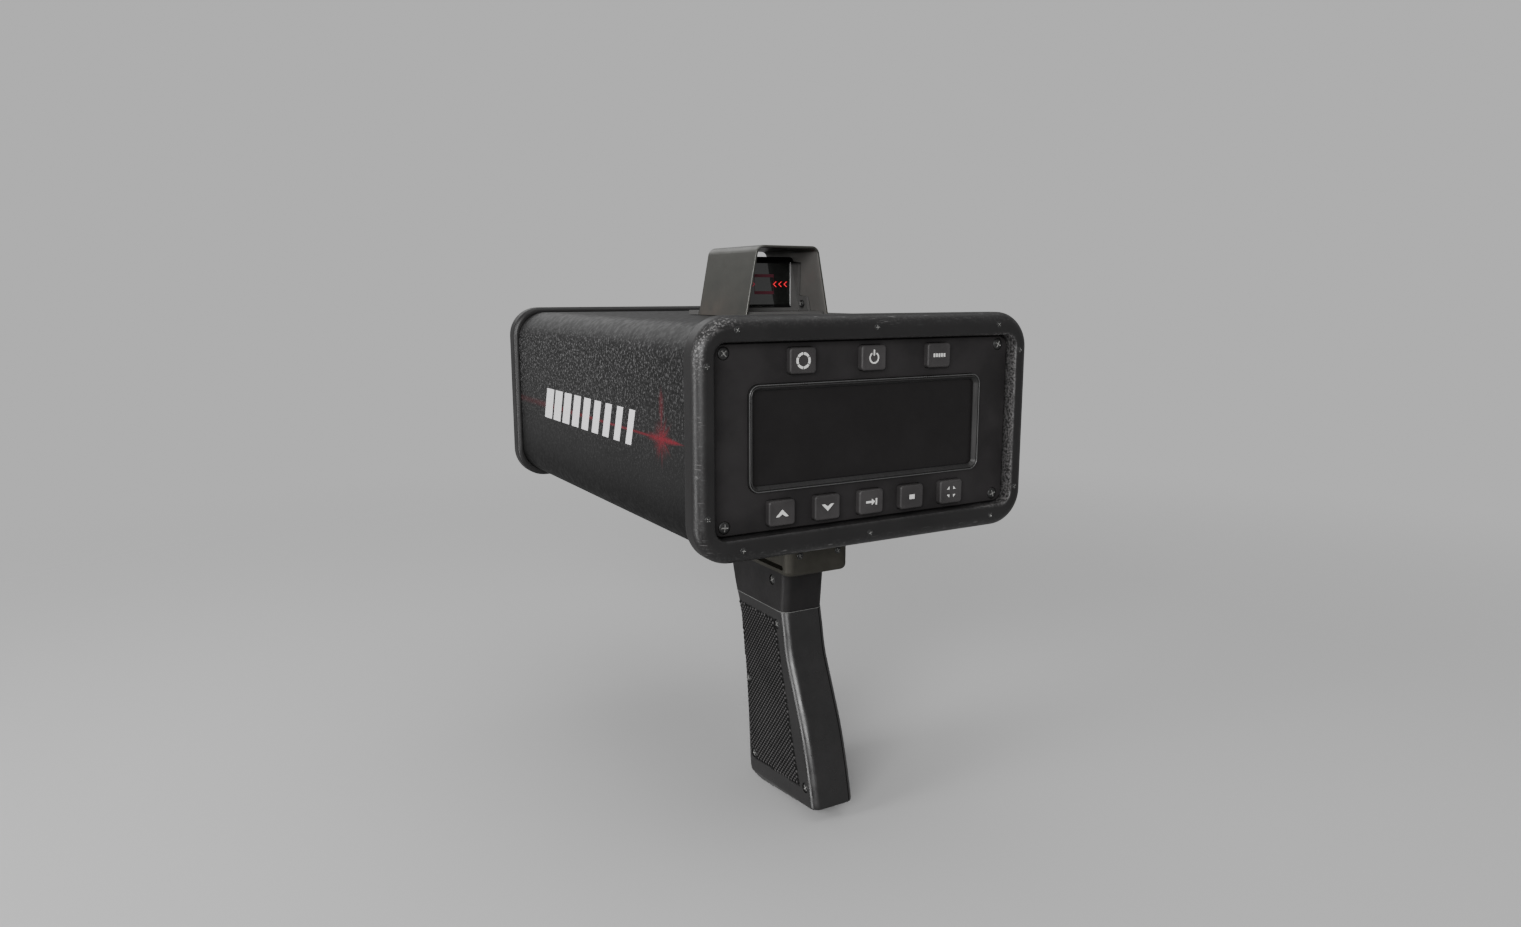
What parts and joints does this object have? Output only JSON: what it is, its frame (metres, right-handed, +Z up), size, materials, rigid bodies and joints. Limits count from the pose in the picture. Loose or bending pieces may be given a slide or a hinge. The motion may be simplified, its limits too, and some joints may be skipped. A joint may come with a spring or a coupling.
{
  "type": "speed measuring gun",
  "caption": "Hand-held traffic speed gun: wide box body with a rear screen and push buttons, front lenses in soft bumpers, a tunnel sight on top and a raked battery grip with a trigger.",
  "frame": {"origin": "the point in the middle of the grip where the hand closes, on the gun's centre plane", "axes": "+X to the operator's right, +Y forward along the measuring beam towards the lenses, +Z up"},
  "size_m": [0.2074, 0.2989, 0.329],
  "materials": {
    "shell_paint": "matte",
    "bumper_rubber": "matte",
    "panel_plastic": "matte",
    "button_plastic": "satin",
    "bezel_metal": "satin",
    "dark_glass": "gloss",
    "lens_glass": "gloss",
    "hood_paint": "satin",
    "bracket_aluminium": "satin",
    "grip_plastic": "satin",
    "steel": "satin",
    "circuit_board": "satin",
    "inner_plastic": "satin",
    "battery_wrap": "gloss"
  },
  "bodies": {
    "gun": {"body_shell": "shell_paint", "rear_bumper": "bumper_rubber", "front_bumper": "bumper_rubber", "rear_panel": "panel_plastic", "front_panel": "panel_plastic", "display_bezel": "bezel_metal", "display_window": "dark_glass", "display_module": "inner_plastic", "keypad_board": "circuit_board", "panel_screw_1": "steel", "panel_screw_2": "steel", "panel_screw_3": "steel", "panel_screw_4": "steel", "receiver_barrel": "inner_plastic", "receiver_lens": "lens_glass", "receiver_ring": "inner_plastic", "transmitter_barrel": "inner_plastic", "transmitter_lens": "lens_glass", "transmitter_ring": "inner_plastic", "detector_module": "bracket_aluminium", "laser_module": "bracket_aluminium", "chassis_tray": "bracket_aluminium", "main_board": "circuit_board", "buzzer": "inner_plastic", "sight_hood": "hood_paint", "sight_frame": "hood_paint", "sight_glass": "lens_glass", "sight_projector": "inner_plastic", "hood_screw_left": "steel", "hood_screw_right": "steel", "rail_bracket": "bracket_aluminium", "grip_neck": "grip_plastic", "neck_screw_left": "steel", "neck_screw_right": "steel", "grip_core": "grip_plastic", "grip_panel_left": "grip_plastic", "grip_panel_right": "grip_plastic", "grip_screw_left_1": "steel", "grip_screw_left_2": "steel", "grip_screw_left_3": "steel", "grip_screw_left_4": "steel", "grip_screw_right_1": "steel", "grip_screw_right_2": "steel", "grip_screw_right_3": "steel", "grip_screw_right_4": "steel", "battery_pack": "battery_wrap", "door_pin": "steel", "trigger_pin": "steel", "trigger_switch": "inner_plastic", "trigger_spring": "steel"},
    "target_button": {"target_button": "button_plastic"},
    "power_button": {"power_button": "button_plastic"},
    "memory_button": {"memory_button": "button_plastic"},
    "up_button": {"up_button": "button_plastic"},
    "down_button": {"down_button": "button_plastic"},
    "exit_button": {"exit_button": "button_plastic"},
    "stop_button": {"stop_button": "button_plastic"},
    "aim_button": {"aim_button": "button_plastic"},
    "trigger": {"trigger": "grip_plastic"},
    "battery_door": {"battery_door": "grip_plastic"}
  },
  "joints": [
    {"name": "target_button_press", "type": "slide", "parent": "gun", "child": "target_button", "axis": [0, 1, 0], "range_m": [0, 0.0012], "stiffness_N_per_m": 800, "springref_m": -0.001},
    {"name": "power_button_press", "type": "slide", "parent": "gun", "child": "power_button", "axis": [0, 1, 0], "range_m": [0, 0.0012], "stiffness_N_per_m": 800, "springref_m": -0.001},
    {"name": "memory_button_press", "type": "slide", "parent": "gun", "child": "memory_button", "axis": [0, 1, 0], "range_m": [0, 0.0012], "stiffness_N_per_m": 800, "springref_m": -0.001},
    {"name": "up_button_press", "type": "slide", "parent": "gun", "child": "up_button", "axis": [0, 1, 0], "range_m": [0, 0.0012], "stiffness_N_per_m": 800, "springref_m": -0.001},
    {"name": "down_button_press", "type": "slide", "parent": "gun", "child": "down_button", "axis": [0, 1, 0], "range_m": [0, 0.0012], "stiffness_N_per_m": 800, "springref_m": -0.001},
    {"name": "exit_button_press", "type": "slide", "parent": "gun", "child": "exit_button", "axis": [0, 1, 0], "range_m": [0, 0.0012], "stiffness_N_per_m": 800, "springref_m": -0.001},
    {"name": "stop_button_press", "type": "slide", "parent": "gun", "child": "stop_button", "axis": [0, 1, 0], "range_m": [0, 0.0012], "stiffness_N_per_m": 800, "springref_m": -0.001},
    {"name": "aim_button_press", "type": "slide", "parent": "gun", "child": "aim_button", "axis": [0, 1, 0], "range_m": [0, 0.0012], "stiffness_N_per_m": 800, "springref_m": -0.001},
    {"name": "trigger_pull", "type": "hinge", "parent": "gun", "child": "trigger", "pos_m": [0, 0.0445, 0.0705], "axis": [-1, 0, 0], "range_deg": [0, 10], "stiffness_Nm_per_rad": 0.15, "springref_deg": -20.05},
    {"name": "battery_door_swing", "type": "hinge", "parent": "gun", "child": "battery_door", "pos_m": [0, -0.0397, -0.05599], "axis": [-1, 0, 0], "range_deg": [0, 90]}
  ]
}
